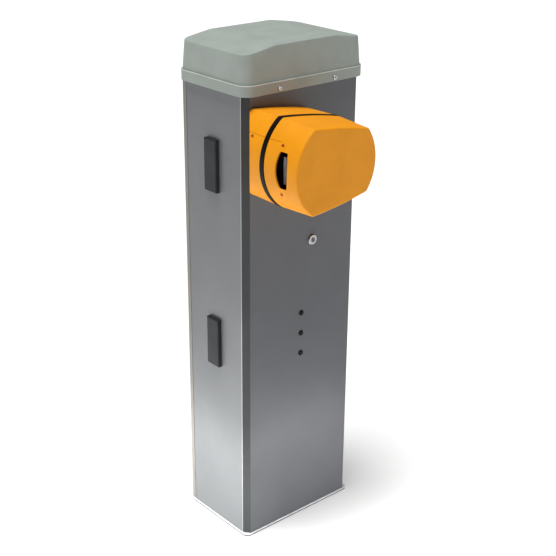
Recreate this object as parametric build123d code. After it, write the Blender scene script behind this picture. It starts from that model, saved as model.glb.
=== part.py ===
from build123d import *
import math
import os

# Barrier gate cabinet with a turning arm head. Millimetres, +Z up, X across the front, front face at -Y.
# The origin is the centre of the cabinet's footprint on the ground, which is the centre of its anchor bolts.

# Cabinet
WIDTH = 280.0
DEPTH = 186.0
BODY_HEIGHT = 919.0
SHEET = 2.0
BASE_THICKNESS = 4.0
BASE_LIP = 3.0
BASE_CORNER_RADIUS = 12.0
ANCHOR_SPACING_X = 200.0
ANCHOR_SPACING_Y = 110.0
ANCHOR_HOLE_RADIUS = 7.0
CABLE_ENTRY = (110.0, 60.0)
CORNER_CHAMFER = 10.0
CORNER_SIDE_WIDTH = 13.0
PROFILE_INSET = 5.0
TOP_TUCK = 14.0
FRAME_RAIL = 12.0
DOOR_RETURN = 13.0
DOOR_BEND_RADIUS = 3.0
DOOR_GAP = 1.4
FLANGE = 18.0

# Cap
SKIRT_HEIGHT = 20.0
SKIRT_OUTSET = 7.5
SKIRT_CORNER_RADIUS = 24.0
CAP_OUTSET = 5.0
CAP_EAVES_HEIGHT = 73.5
CAP_CROWN_HEIGHT = 84.0
CAP_DRAFT = 4.0
CROWN_HALF_WIDTH = 73.0
CAP_WALL = 4.0
CAP_EDGE_RADIUS = 2.5
CAP_SCREW_X = 67.0
CAP_SCREW_ABOVE_SKIRT = 7.0
CAP_SCREW_SHANK = 2.5
CAP_SCREW_HEAD = 4.6

# Arm
ARM_INSET = 70.6
ARM_BELOW_SKIRT = 101.0
FLAT_LEFT_DEG = 125.0
FLAT_RIGHT_DEG = 38.0
FLAT_BULGE = 2.5
OUTLINE_CORNER = 5.0
COLLAR_LENGTH = 73.0
COLLAR_RADIUS_PANEL = 97.0
COLLAR_RADIUS_END = 98.5
COLLAR_BEVEL_DEPTH = 45.0
COLLAR_BEVEL_WIDTH = 37.5
BAND_LENGTH = 10.0
BAND_RADIUS = 99.5
BAND_WEB = 4.0
HEAD_LENGTH = 79.0
HEAD_RADIUS_REAR = 98.5
HEAD_RADIUS_FRONT = 94.0
HEAD_DROP = 1.5
HEAD_EDGE_RADIUS = 3.0
COVER_WALL = 3.0
SEAM_HEIGHT = 49.0
SEAM_WIDTH = 0.7
SLOT_MARGIN = 1.0
SLOT_RISE = 2.0
SLOT_END_WIDTH = 18.0
SLOT_BOW = 5.5
SLOT_CORNER = 3.5
SEAM_LENGTH = 32.0
COVER_SCREW_RADIUS = 3.0
COVER_SCREW_SHANK = 2.0
COVER_SCREW_LENGTH = 16.0
COVER_SCREW_SINK = 2.0
COVER_SCREW_PLACE = 34.0
SCREW_SLEEVE_RADIUS = 6.5
SCREW_PILLAR_RADIUS = 7.0

# Boom holder inside the head
HUB_THICKNESS = 21.0
HOLDER_PLATE = 6.0
CLAMP_PLATE = 4.0
HOLDER_RIGHT_REACH = 60.0
CLAMP_BOLT_SHIFT = 2.0
HOLDER_RIM = 14.0
HOLDER_LIP = 3.0
TONGUE_REACH = 73.5
TONGUE_TOP = 20.0
BOOM_HEIGHT = 64.0
BOOM_DEPTH = 25.0
CLAMP_BOLT_RADIUS = 4.0

# Drive
GEAR_MODULE = 2.0
OUTPUT_TEETH = 44
PINION_TEETH = 12
GEAR_WIDTH = 24.0
GEAR_BACKLASH = 0.5
ADDENDUM = 0.85
DEDENDUM = 1.2
SHAFT_RADIUS = 17.0
SHAFT_TAIL_RADIUS = 12.0
PINION_SHAFT_RADIUS = 6.0
BUSH_WALL = 4.0
BUSH_LENGTH = 30.0
CASE_WALL = 6.0
CASE_DEPTH = 60.0
MOTOR_RADIUS = 27.0
MOTOR_LENGTH = 75.0
BOSS_LENGTH = 62.0

# Balance spring linkage
LEVER_LENGTH = 32.0
LEVER_THICKNESS = 12.0
LEVER_HUB_RADIUS = 20.0
LEVER_EYE_RADIUS = 10.0
LINK_PIN_RADIUS = 5.0
LINK_EYE_RADIUS = 14.0
LINK_EYE_WALL = 5.0
LINK_THICKNESS = 6.0
SPRING_DROP = 338.0
SPRING_RADIUS = 17.0
SPRING_WIRE = 4.4
SPRING_LENGTH = 200.0
SPRING_BASE = 40.0
ROD_RADIUS = 4.0
STOP_RADIUS = 6.0

# Fittings on the panels
LOCK_X = 25.0
LOCK_BELOW_ARM = 204.0
LOCK_RING_RADIUS = 10.5
LOCK_BARREL_RADIUS = 8.5
LOCK_PLUG_RADIUS = 5.0
LOCK_DEPTH = 24.0
PLUG_HOLE_RADIUS = 4.5
PLUG_HEAD_RADIUS = 5.6
PLUGS_BELOW_ARM = 353.0
PLUG_PITCH = 44.0
SENSOR_HEIGHT = 101.0
SENSOR_WIDTH = 35.0
SENSOR_DEPTH = 9.0
SENSOR_BEVEL = 1.5
SENSOR_Y = 1.0
UPPER_SENSOR_BELOW_SKIRT = 94.0
LOWER_SENSOR_Z = 362.0
DOOR_LOCK_INSET = 32.0
DOOR_LOCK_Z = 486.0
CAM_THICKNESS = 4.0
CAM_WIDTH = 12.0
DOOR_CAM_LENGTH = 22.0
RELEASE_CAM_LENGTH = 24.0
HINGE_RADIUS = 4.5
HINGE_PIN_RADIUS = 2.5
HINGE_HEIGHT = 60.0
LOWER_HINGE_Z = 150.0
UPPER_HINGE_BELOW_SKIRT = 199.0

# Electrics on the right side
PLATE_STANDOFF = 10.0
PLATE_BOTTOM = 140.0
PLATE_HEIGHT = 500.0
PLATE_MARGIN = 30.0
BOX_WIDTH = 86.0
BOX_DEPTH = 64.0
BOX_HEIGHT = 240.0
BOX_WALL = 2.5
BOX_BOTTOM = 370.0

# Clearances
SEAT = 0.4
MOVE = 0.5
AXIAL = 1.0
RUNNING = 0.05

FRONT = -DEPTH / 2
REAR = DEPTH / 2
SIDE = WIDTH / 2
PANEL_TOP = BODY_HEIGHT + TOP_TUCK
ARM_X = ARM_INSET - SIDE
ARM_Z = BODY_HEIGHT - ARM_BELOW_SKIRT
DOOR_SEAM = REAR - DOOR_RETURN
PINION_Z = ARM_Z + GEAR_MODULE * (OUTPUT_TEETH + PINION_TEETH) / 2
CASE_FRONT = FRONT + SHEET
CASE_REAR = CASE_FRONT + CASE_DEPTH
CASE_SPLIT = CASE_FRONT + CASE_DEPTH / 2
BAND_START = COLLAR_LENGTH
HEAD_START = COLLAR_LENGTH + BAND_LENGTH + AXIAL
HUB_START = HEAD_START + 2 * AXIAL
HOLDER_START = HUB_START + HUB_THICKNESS
CLAMP_START = HOLDER_START + HOLDER_PLATE + BOOM_DEPTH
LEVER_FRONT = CASE_REAR + 4
LEVER_REAR = LEVER_FRONT + LEVER_THICKNESS
LINK_Y = LEVER_REAR + 12
SPRING_X = ARM_X + LEVER_LENGTH
ANCHOR_PIN_Z = ARM_Z - SPRING_DROP
SPRING_BOTTOM = ANCHOR_PIN_Z + SPRING_BASE
LOCK_Z = ARM_Z - LOCK_BELOW_ARM
PLUG_TOP_Z = ARM_Z - PLUGS_BELOW_ARM
UPPER_SENSOR_Z = BODY_HEIGHT - UPPER_SENSOR_BELOW_SKIRT - SENSOR_HEIGHT
UPPER_HINGE_Z = BODY_HEIGHT - UPPER_HINGE_BELOW_SKIRT
DOOR_LOCK_X = DOOR_LOCK_INSET - SIDE
BOSS_RADIUS = SHAFT_RADIUS + BUSH_WALL + CASE_WALL
CAP_SCREW_Z = BODY_HEIGHT + CAP_SCREW_ABOVE_SKIRT
PLATE_FACE = SIDE - SHEET - PLATE_STANDOFF - SHEET
BOX_MOUTH = DOOR_SEAM - 23
HINGE_X = SIDE + HINGE_RADIUS + MOVE
HINGE_Y = DOOR_SEAM + MOVE
BOOM_LOW = ARM_Z + SLOT_RISE - BOOM_HEIGHT / 2
BOOM_HIGH = ARM_Z + SLOT_RISE + BOOM_HEIGHT / 2
COLLAR_SCREW = (ARM_X - 85.5, FRONT - 39.5, ARM_Z + SEAM_HEIGHT - 5.5)
SLOT_HEIGHT = BOOM_HEIGHT + 2 * SLOT_MARGIN
SLOT_MIDDLE = CLAMP_START - BOOM_DEPTH / 2
UPPER_SCREW_Z = BOOM_HIGH + HOLDER_LIP + SCREW_PILLAR_RADIUS
LOWER_SCREW_Z = BOOM_LOW - HOLDER_LIP - SCREW_PILLAR_RADIUS - 2 * AXIAL
SCREW_RADIUS = HEAD_RADIUS_REAR + (HEAD_RADIUS_FRONT - HEAD_RADIUS_REAR) * COVER_SCREW_PLACE / HEAD_LENGTH
SCREW_RISE = max(UPPER_SCREW_Z - ARM_Z, ARM_Z - LOWER_SCREW_Z)
SCREW_X = ARM_X + COVER_SCREW_SINK - math.sqrt(SCREW_RADIUS ** 2 - SCREW_RISE ** 2)
HEAD_SCREWS = (
    (SCREW_X, FRONT - HEAD_START - COVER_SCREW_PLACE, UPPER_SCREW_Z),
    (SCREW_X, FRONT - HEAD_START - COVER_SCREW_PLACE, LOWER_SCREW_Z),
)
SCREW_PILLAR_X = SCREW_X + 3 + COVER_SCREW_LENGTH
HOLDER_LEFT = SCREW_PILLAR_X + SCREW_PILLAR_RADIUS + AXIAL
HOLDER_RIGHT = ARM_X + HOLDER_RIGHT_REACH
CLAMP_BOLTS = (
    (ARM_X + CLAMP_BOLT_SHIFT, BOOM_HIGH + HOLDER_LIP + CLAMP_BOLT_RADIUS),
    (ARM_X + CLAMP_BOLT_SHIFT, BOOM_LOW - HOLDER_LIP - CLAMP_BOLT_RADIUS),
)

parts = {}


def block(x_range, y_range, z_range):
    """Box between two corners, given as three (low, high) pairs."""
    spans = (x_range, y_range, z_range)
    sizes = [high - low for low, high in spans]
    middle = [(high + low) / 2 for low, high in spans]
    return Pos(*middle) * Box(*sizes)


def rod_x(y, z, radius, low, high):
    """Cylinder along X from low to high."""
    return Pos((low + high) / 2, y, z) * Rot(0, 90, 0) * Cylinder(radius, high - low)


def rod_y(x, z, radius, low, high):
    """Cylinder along Y from low to high."""
    return Pos(x, (low + high) / 2, z) * Rot(90, 0, 0) * Cylinder(radius, high - low)


def rod_z(x, y, radius, low, high):
    """Cylinder along Z from low to high."""
    return Pos(x, y, (low + high) / 2) * Cylinder(radius, high - low)


def facing_front(y, x=0.0, z=0.0):
    """Plane whose normal points to the front, with its own X and Y along the row's X and Z."""
    return Plane(origin=(x, y, z), x_dir=(1, 0, 0), z_dir=(0, -1, 0))


def in_front(distance):
    """Plane centred on the arm's axis, this far in front of the front panel."""
    return facing_front(FRONT - distance, ARM_X, ARM_Z)


def prism_y(section, low, high, x=0.0, z=0.0):
    """A section drawn in X and Z, as a prism from low to high in Y."""
    return extrude(facing_front(high, x, z) * section, high - low)


def polar(radius, degrees):
    return (radius * math.cos(math.radians(degrees)), radius * math.sin(math.radians(degrees)))


# ---------------------------------------------------------------- cabinet
def base_plate():
    width = WIDTH + 2 * BASE_LIP
    depth = DEPTH + 2 * BASE_LIP
    plate = extrude(RectangleRounded(width, depth, BASE_CORNER_RADIUS), BASE_THICKNESS)
    plate = chamfer(plate.faces().sort_by(Axis.Z)[-1].outer_wire().edges(), BASE_THICKNESS / 4)
    for x in (-ANCHOR_SPACING_X / 2, ANCHOR_SPACING_X / 2):
        for y in (-ANCHOR_SPACING_Y / 2, ANCHOR_SPACING_Y / 2):
            plate -= rod_z(x, y, ANCHOR_HOLE_RADIUS, -1, BASE_THICKNESS + 1)
    entry = RectangleRounded(*CABLE_ENTRY, BASE_THICKNESS * 2)
    return plate - Pos(0, 0, -1) * extrude(entry, BASE_THICKNESS + 2)


def front_panel():
    edge = SIDE - CORNER_CHAMFER
    panel = block((-edge, edge), (FRONT, FRONT + SHEET), (BASE_THICKNESS, PANEL_TOP))
    holes = [(ARM_X, ARM_Z, BOSS_RADIUS + SEAT), (LOCK_X, LOCK_Z, LOCK_BARREL_RADIUS + SEAT)]
    for index in range(3):
        holes.append((0, PLUG_TOP_Z - index * PLUG_PITCH, PLUG_HOLE_RADIUS))
    for sign in (-1, 1):
        holes.append((sign * CAP_SCREW_X, CAP_SCREW_Z, CAP_SCREW_SHANK))
    for x, z, radius in holes:
        panel -= rod_y(x, z, radius, FRONT - 1, FRONT + SHEET + 1)
    return panel


def side_panel(sign):
    """Side sheet with a flange along its rear edge, which the rear door closes on."""
    outer = sign * SIDE
    inner = sign * (SIDE - SHEET)
    lip = sign * (SIDE - FLANGE)
    z_range = (BASE_THICKNESS, PANEL_TOP)
    front_edge = FRONT + CORNER_SIDE_WIDTH
    panel = block(sorted((outer, inner)), (front_edge, DOOR_SEAM), z_range)
    flange = block(sorted((inner, lip)), (DOOR_SEAM - SHEET, DOOR_SEAM), z_range)
    return panel + flange


def corner_profile(sign):
    """Bevelled bar that closes a front corner over the whole height."""
    outline = [
        (sign * SIDE, FRONT + CORNER_SIDE_WIDTH),
        (sign * (SIDE - CORNER_CHAMFER), FRONT),
        (sign * (SIDE - CORNER_CHAMFER), FRONT + PROFILE_INSET),
        (sign * (SIDE - PROFILE_INSET), FRONT + CORNER_SIDE_WIDTH),
    ]
    face = make_face(Polyline(*outline, close=True))
    return Pos(0, 0, BASE_THICKNESS) * extrude(face, PANEL_TOP - BASE_THICKNESS, dir=(0, 0, 1))


def top_frame():
    """Ring of rails inside the top of the sheets, which the cap screws pull against."""
    outer_x = SIDE - SHEET
    outer_front = FRONT + CORNER_SIDE_WIDTH
    rail = block((-outer_x, outer_x), (outer_front, DOOR_SEAM - SHEET), (BODY_HEIGHT, PANEL_TOP))
    rail -= block(
        (FRAME_RAIL - outer_x, outer_x - FRAME_RAIL),
        (outer_front + FRAME_RAIL, DOOR_SEAM - SHEET - FRAME_RAIL),
        (BODY_HEIGHT - 1, PANEL_TOP + 1),
    )
    for sign in (-1, 1):
        tab = block(
            sorted((sign * (CAP_SCREW_X - 14), sign * (CAP_SCREW_X + 14))),
            (FRONT + SHEET, outer_front),
            (BODY_HEIGHT, PANEL_TOP),
        )
        rail += tab
    for sign in (-1, 1):
        rail -= rod_y(sign * CAP_SCREW_X, CAP_SCREW_Z, CAP_SCREW_SHANK, FRONT, FRONT + SHEET + 12)
    return rail


def cap_block(outset_low, outset_high, bottom, roof_drop, corner):
    """Tapering block under a roof that is level in the middle and falls to both sides."""
    top = BODY_HEIGHT + CAP_CROWN_HEIGHT + 2
    low = RectangleRounded(WIDTH + 2 * outset_low, DEPTH + 2 * outset_low, corner)
    high = RectangleRounded(WIDTH + 2 * outset_high, DEPTH + 2 * outset_high, corner)
    body = loft([Pos(0, 0, bottom) * low, Pos(0, 0, top) * high], ruled=True)
    eaves = BODY_HEIGHT + CAP_EAVES_HEIGHT - roof_drop
    crown = BODY_HEIGHT + CAP_CROWN_HEIGHT - roof_drop
    reach = SIDE + SKIRT_OUTSET + 20
    slope = (CAP_CROWN_HEIGHT - CAP_EAVES_HEIGHT) / (SIDE - CROWN_HALF_WIDTH)
    edge_z = crown - slope * (reach - CROWN_HALF_WIDTH)
    roof = Polyline(
        (-reach, bottom - 1), (reach, bottom - 1), (reach, edge_z), (CROWN_HALF_WIDTH, crown),
        (-CROWN_HALF_WIDTH, crown), (-reach, edge_z), close=True,
    )
    section = make_face(roof)
    if eaves <= bottom:
        raise ValueError("the cap's walls need a height")
    return body & prism_y(section, FRONT - 40, REAR + 40)


def cap():
    """Moulded cap with a stepped skirt, resting on the top edges of the sheets."""
    skirt_top = BODY_HEIGHT + SKIRT_HEIGHT
    skirt = RectangleRounded(WIDTH + 2 * SKIRT_OUTSET, DEPTH + 2 * SKIRT_OUTSET, SKIRT_CORNER_RADIUS)
    skirt = Pos(0, 0, BODY_HEIGHT) * extrude(skirt, SKIRT_HEIGHT)
    skirt = fillet(skirt.faces().sort_by(Axis.Z)[-1].edges(), 1.2)
    corner = SKIRT_CORNER_RADIUS - SKIRT_OUTSET + CAP_OUTSET
    shell = cap_block(CAP_OUTSET, CAP_OUTSET - CAP_DRAFT, skirt_top - 1, 0, corner)
    roof_edges = shell.edges().filter_by(lambda edge: edge.center().Z > skirt_top + 5 and is_roof_edge(edge))
    shell = fillet(roof_edges, CAP_EDGE_RADIUS)
    body = skirt + shell
    pocket = RectangleRounded(WIDTH + 2 * AXIAL, DEPTH + 2 * AXIAL, 4)
    body -= Pos(0, 0, BODY_HEIGHT - 1) * extrude(pocket, TOP_TUCK + 1)
    body -= cap_block(-CAP_WALL, -CAP_WALL - 1, PANEL_TOP - 1, CAP_WALL, 8)
    for sign in (-1, 1):
        body -= rod_y(sign * CAP_SCREW_X, CAP_SCREW_Z, CAP_SCREW_SHANK, FRONT - 20, FRONT)
    return body


def is_roof_edge(edge):
    """True for an edge that lies between a cap wall and the roof, and not up a wall's corner."""
    middle = edge.center()
    on_wall = abs(middle.X) > SIDE - 1 or abs(middle.Y) > REAR - 3
    return on_wall and abs(edge.tangent_at(0.5).Z) < 0.5


def cap_screw(sign):
    x = sign * CAP_SCREW_X
    face = FRONT - SKIRT_OUTSET
    head = rod_y(x, CAP_SCREW_Z, CAP_SCREW_HEAD, face - 2.6, face)
    head = fillet(head.faces().sort_by(Axis.Y)[0].edges(), 1.6)
    shank = rod_y(x, CAP_SCREW_Z, CAP_SCREW_SHANK, face, FRONT + SHEET + 9)
    socket = prism_y(RegularPolygon(2.2, 6), face - 3, face - 1, x, CAP_SCREW_Z)
    return head + shank - socket


def sensor_cover(bottom):
    """Bevelled housing on the lane side, dark all over so that the beam passes through its face."""
    y_range = (SENSOR_Y - SENSOR_WIDTH / 2, SENSOR_Y + SENSOR_WIDTH / 2)
    body = block((-SIDE - SENSOR_DEPTH, -SIDE), y_range, (bottom, bottom + SENSOR_HEIGHT))
    return chamfer(body.faces().sort_by(Axis.X)[0].edges(), SENSOR_BEVEL)


def hole_plug(index):
    z = PLUG_TOP_Z - index * PLUG_PITCH
    head = rod_y(0, z, PLUG_HEAD_RADIUS, FRONT - 2, FRONT)
    head = fillet(head.faces().sort_by(Axis.Y)[0].edges(), 1.5)
    return head + rod_y(0, z, PLUG_HOLE_RADIUS, FRONT, FRONT + SHEET + 4)


# ---------------------------------------------------------------- arm head
def arm_outline(radius):
    """Circle with its top and bottom replaced by two slightly bulged flats that close to the right."""
    left_top = polar(radius, FLAT_LEFT_DEG)
    right_top = polar(radius, FLAT_RIGHT_DEG)
    left_low = polar(radius, -FLAT_LEFT_DEG)
    right_low = polar(radius, -FLAT_RIGHT_DEG)
    middle_deg = (FLAT_LEFT_DEG + FLAT_RIGHT_DEG) / 2
    sagitta = radius * math.cos(math.radians((FLAT_LEFT_DEG - FLAT_RIGHT_DEG) / 2)) + FLAT_BULGE
    edges = Curve() + [
        ThreePointArc(left_low, (-radius, 0), left_top),
        ThreePointArc(left_top, polar(sagitta, middle_deg), right_top),
        ThreePointArc(right_top, (radius, 0), right_low),
        ThreePointArc(right_low, polar(sagitta, -middle_deg), left_low),
    ]
    face = make_face(edges)
    return fillet(face.vertices(), OUTLINE_CORNER)


def arm_loft(start, end, radius_start, radius_end, drop=0.0):
    """Solid between the arm's outline at two distances in front of the panel, the far one lowered."""
    near = in_front(start) * arm_outline(radius_start)
    far = in_front(end) * Pos(0, -drop, 0) * arm_outline(radius_end)
    return loft([near, far], ruled=True)


def head_loft(inset):
    """The turning head's tapered shape, taken in by the same distance all round and at the far end."""
    drop = HEAD_DROP * (HEAD_LENGTH - inset) / HEAD_LENGTH
    radii = (HEAD_RADIUS_REAR - inset, HEAD_RADIUS_FRONT - inset)
    return arm_loft(HEAD_START, HEAD_START + HEAD_LENGTH - inset, *radii, drop)


def collar_shell(upper):
    """Half of the fixed collar, split at the seam, with its left side bevelled down to the panel."""
    shell = arm_loft(0, COLLAR_LENGTH, COLLAR_RADIUS_PANEL, COLLAR_RADIUS_END)
    inner = COLLAR_RADIUS_PANEL - COVER_WALL
    shell -= arm_loft(-1, COLLAR_LENGTH + 1, inner, inner)
    chord = -SIDE + CORNER_CHAMFER
    full = chord - COLLAR_BEVEL_WIDTH
    far = full - 40
    low = ARM_Z - 110
    bevel = make_face(Polyline(
        (chord, FRONT + 1), (chord, FRONT), (full, FRONT - COLLAR_BEVEL_DEPTH),
        (far, FRONT - COLLAR_BEVEL_DEPTH), (far, FRONT + 1), close=True,
    ))
    cut = extrude(Pos(0, 0, low) * bevel, 220, dir=(0, 0, 1))
    shell -= cut
    flank = make_face(Polyline(
        (chord, FRONT), (full, FRONT - COLLAR_BEVEL_DEPTH),
        (full + COVER_WALL, FRONT - COLLAR_BEVEL_DEPTH), (chord + COVER_WALL * 1.3, FRONT), close=True,
    ))
    wall = extrude(Pos(0, 0, low) * flank, 220, dir=(0, 0, 1))
    shell += wall & arm_loft(0, COLLAR_LENGTH, COLLAR_RADIUS_PANEL, COLLAR_RADIUS_END)
    seam = ARM_Z + SEAM_HEIGHT
    y_range = (FRONT - COLLAR_LENGTH - 1, FRONT + 1)
    x_range = (ARM_X - 120, ARM_X + 120)
    if upper:
        shell &= block(x_range, y_range, (seam + SEAM_WIDTH / 2, seam + 80))
    else:
        sleeve, hole = screw_sleeve(COLLAR_SCREW)
        shell += (sleeve & arm_loft(0, COLLAR_LENGTH, COLLAR_RADIUS_PANEL, COLLAR_RADIUS_END)) - cut
        shell = shell & block(x_range, y_range, (seam - 200, seam - SEAM_WIDTH / 2))
        shell -= hole
    return shell


def cover_screw(place):
    """Screw along X in a recess of a moulded cover."""
    x, y, z = place
    head = rod_x(y, z, COVER_SCREW_RADIUS, x, x + 3)
    shank = rod_x(y, z, COVER_SCREW_SHANK, x + 3, x + 3 + COVER_SCREW_LENGTH)
    socket = Pos(x, y, z) * Rot(0, 90, 0) * extrude(RegularPolygon(1.8, 6), 1.5, both=True)
    return head + shank - socket


def screw_sleeve(place):
    """Inside of a cover's screw recess, as the solid sleeve to add and the hole to cut."""
    x, y, z = place
    sleeve = rod_x(y, z, SCREW_SLEEVE_RADIUS, x - 8, x + 6)
    hole = rod_x(y, z, COVER_SCREW_RADIUS + SEAT, x - 20, x + 3)
    hole += rod_x(y, z, COVER_SCREW_SHANK, x + 3, x + 7)
    return sleeve, hole


def band_ring():
    """Dark ring that closes the end of the collar, with a web round the shaft boss."""
    ring = arm_loft(BAND_START, BAND_START + BAND_LENGTH, BAND_RADIUS, BAND_RADIUS)
    inner = BAND_RADIUS - COVER_WALL * 2
    ring -= arm_loft(BAND_START - 1, BAND_START + BAND_LENGTH - BAND_WEB, inner, inner)
    return ring - rod_y(ARM_X, ARM_Z, BOSS_RADIUS + SEAT, FRONT - HEAD_START - 1, FRONT)


def slot_section():
    """Boom slot outline: short straight ends, and long sides that bow outwards."""
    middle = FRONT - SLOT_MIDDLE
    reach = SLOT_END_WIDTH / 2 + SLOT_BOW
    centre = ARM_Z + SLOT_RISE
    low = centre - SLOT_HEIGHT / 2
    high = centre + SLOT_HEIGHT / 2
    near = middle + SLOT_END_WIDTH / 2
    far = middle - SLOT_END_WIDTH / 2
    edges = Curve() + [
        Line((far, low), (near, low)),
        ThreePointArc((near, low), (middle + reach, centre), (near, high)),
        Line((near, high), (far, high)),
        ThreePointArc((far, high), (middle - reach, centre), (far, low)),
    ]
    face = make_face(edges)
    return fillet(face.vertices(), SLOT_CORNER)


def head_cover():
    """Moulded cover that turns with the arm, with the boom slot in its left side."""
    cover = head_loft(0)
    cover = fillet(cover.faces().sort_by(Axis.Y)[0].edges(), HEAD_EDGE_RADIUS)
    cover -= cover_inside()
    across = Plane(origin=(ARM_X - 40, 0, 0), x_dir=(0, 1, 0), z_dir=(1, 0, 0))
    cover -= extrude(across * slot_section(), -80)
    seam = ARM_Z + SEAM_HEIGHT
    left = ARM_X - 100
    seam_end = FRONT - HEAD_START - SEAM_LENGTH
    cover -= block(
        (left, ARM_X - 30), (seam_end, FRONT - HEAD_START + 1),
        (seam - SEAM_WIDTH / 2, seam + SEAM_WIDTH / 2),
    )
    for place in HEAD_SCREWS:
        sleeve, hole = screw_sleeve(place)
        cover += sleeve & head_loft(0)
        cover -= hole
    return cover


def cover_inside():
    """Space inside the head cover, open to the rear."""
    mouth = HEAD_RADIUS_REAR - COVER_WALL
    return head_loft(COVER_WALL) + arm_loft(HEAD_START - 1, HEAD_START, mouth, mouth)


def hub_flange():
    """Plate on the end of the shaft that fills the cover's mouth, with pillars for the cover screws."""
    start = FRONT - HUB_START
    end = FRONT - HOLDER_START
    x_range = (ARM_X - HEAD_RADIUS_REAR, ARM_X + HEAD_RADIUS_REAR)
    z_range = (ARM_Z - HEAD_RADIUS_REAR, ARM_Z + HEAD_RADIUS_REAR)
    plate = cover_inside() & block(x_range, (end, start), z_range)
    for x, y, z in HEAD_SCREWS:
        plate += rod_y(SCREW_PILLAR_X, z, SCREW_PILLAR_RADIUS, y - SCREW_PILLAR_RADIUS, end)
        plate -= rod_x(y, z, COVER_SCREW_SHANK, x, x + 3 + COVER_SCREW_LENGTH)
    return plate - rod_y(ARM_X, ARM_Z, SHAFT_RADIUS, end - 1, start + 1)


def boom_holder():
    """Channel plate that the boom's end slides into, with two lips and a tongue out to the slot."""
    rear = FRONT - HOLDER_START
    front = rear - HOLDER_PLATE
    x_range = (HOLDER_LEFT, HOLDER_RIGHT)
    lip_y = (front - BOOM_DEPTH, front)
    holder = block(x_range, (front, rear), (BOOM_LOW - HOLDER_RIM, BOOM_HIGH + HOLDER_RIM))
    tongue = (ARM_X - TONGUE_REACH, HOLDER_LEFT)
    holder += block(tongue, (front, rear), (BOOM_LOW + 1, ARM_Z + TONGUE_TOP))
    holder += block(x_range, lip_y, (BOOM_HIGH, BOOM_HIGH + HOLDER_LIP))
    holder += block(x_range, lip_y, (BOOM_LOW - HOLDER_LIP, BOOM_LOW))
    for x, z in CLAMP_BOLTS:
        holder += rod_y(x, z, CLAMP_BOLT_RADIUS + 3, front - BOOM_DEPTH, front)
    holder -= block(x_range, lip_y, (BOOM_LOW, BOOM_HIGH))
    for x, z in CLAMP_BOLTS:
        holder -= rod_y(x, z, CLAMP_BOLT_RADIUS, front - BOOM_DEPTH - 1, rear + 1)
    return holder & head_loft(COVER_WALL + AXIAL)


def clamp_plate():
    """Plate in front of the boom that the bolts pull against it."""
    front = FRONT - CLAMP_START - CLAMP_PLATE
    rear = FRONT - CLAMP_START
    rim = HOLDER_RIM - 1
    plate = block((HOLDER_LEFT, HOLDER_RIGHT), (front, rear), (BOOM_LOW - rim, BOOM_HIGH + rim))
    for x, z in CLAMP_BOLTS:
        plate -= rod_y(x, z, CLAMP_BOLT_RADIUS, front - 1, rear + 1)
    return plate & head_loft(COVER_WALL + AXIAL)


def clamp_bolt(place):
    x, z = place
    face = FRONT - CLAMP_START - CLAMP_PLATE
    head = prism_y(RegularPolygon(CLAMP_BOLT_RADIUS + 3, 6), face - 5, face, x, z)
    return head + rod_y(x, z, CLAMP_BOLT_RADIUS, face, FRONT - HOLDER_START - 1)


# ---------------------------------------------------------------- drive
def gear_section(teeth, turn_degrees):
    """Spur gear outline with straight flanks that follow the involute at the pitch circle."""
    pitch_radius = GEAR_MODULE * teeth / 2
    tip = pitch_radius + ADDENDUM * GEAR_MODULE
    root = pitch_radius - DEDENDUM * GEAR_MODULE
    half_pitch = (math.pi * GEAR_MODULE / 2 - GEAR_BACKLASH) / 2 / pitch_radius
    lean = math.tan(math.radians(20))
    half_tip = half_pitch - (tip - pitch_radius) * lean / pitch_radius
    half_root = half_pitch + (pitch_radius - root) * lean * 0.6 / pitch_radius
    points = []
    for tooth in range(teeth):
        middle = math.radians(turn_degrees) + 2 * math.pi * tooth / teeth
        for radius, angle in (
            (root, -half_root), (pitch_radius, -half_pitch), (tip, -half_tip),
            (tip, half_tip), (pitch_radius, half_pitch), (root, half_root),
        ):
            points.append((radius * math.cos(middle + angle), radius * math.sin(middle + angle)))
    return make_face(Polyline(*points, close=True))


def output_gear():
    low = CASE_SPLIT - GEAR_WIDTH / 2
    high = CASE_SPLIT + GEAR_WIDTH / 2
    gear = prism_y(gear_section(OUTPUT_TEETH, 90), low, high, ARM_X, ARM_Z)
    return gear - rod_y(ARM_X, ARM_Z, SHAFT_RADIUS, low - 1, high + 1)


def output_shaft():
    """Stepped shaft, from the hub flange through the boss and the gearcase to the crank lever."""
    step = CASE_SPLIT + GEAR_WIDTH / 2
    thick = rod_y(ARM_X, ARM_Z, SHAFT_RADIUS, FRONT - HOLDER_START, step)
    thin = rod_y(ARM_X, ARM_Z, SHAFT_TAIL_RADIUS, step, LEVER_REAR + 8)
    return thick + thin


def case_outline(margin):
    """Egg-shaped outline round both gears, this far outside their tips."""
    big = GEAR_MODULE * (OUTPUT_TEETH / 2 + ADDENDUM) + margin
    small = GEAR_MODULE * (PINION_TEETH / 2 + ADDENDUM) + margin
    outline = Circle(big) + Pos(0, PINION_Z - ARM_Z) * Circle(small)
    sine = (big - small) / (PINION_Z - ARM_Z)
    cosine = math.sqrt(1 - sine * sine)
    rise = PINION_Z - ARM_Z
    web = make_face(Polyline(
        (big * cosine, big * sine), (small * cosine, rise + small * sine),
        (-small * cosine, rise + small * sine), (-big * cosine, big * sine), close=True,
    ))
    return outline + web


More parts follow.
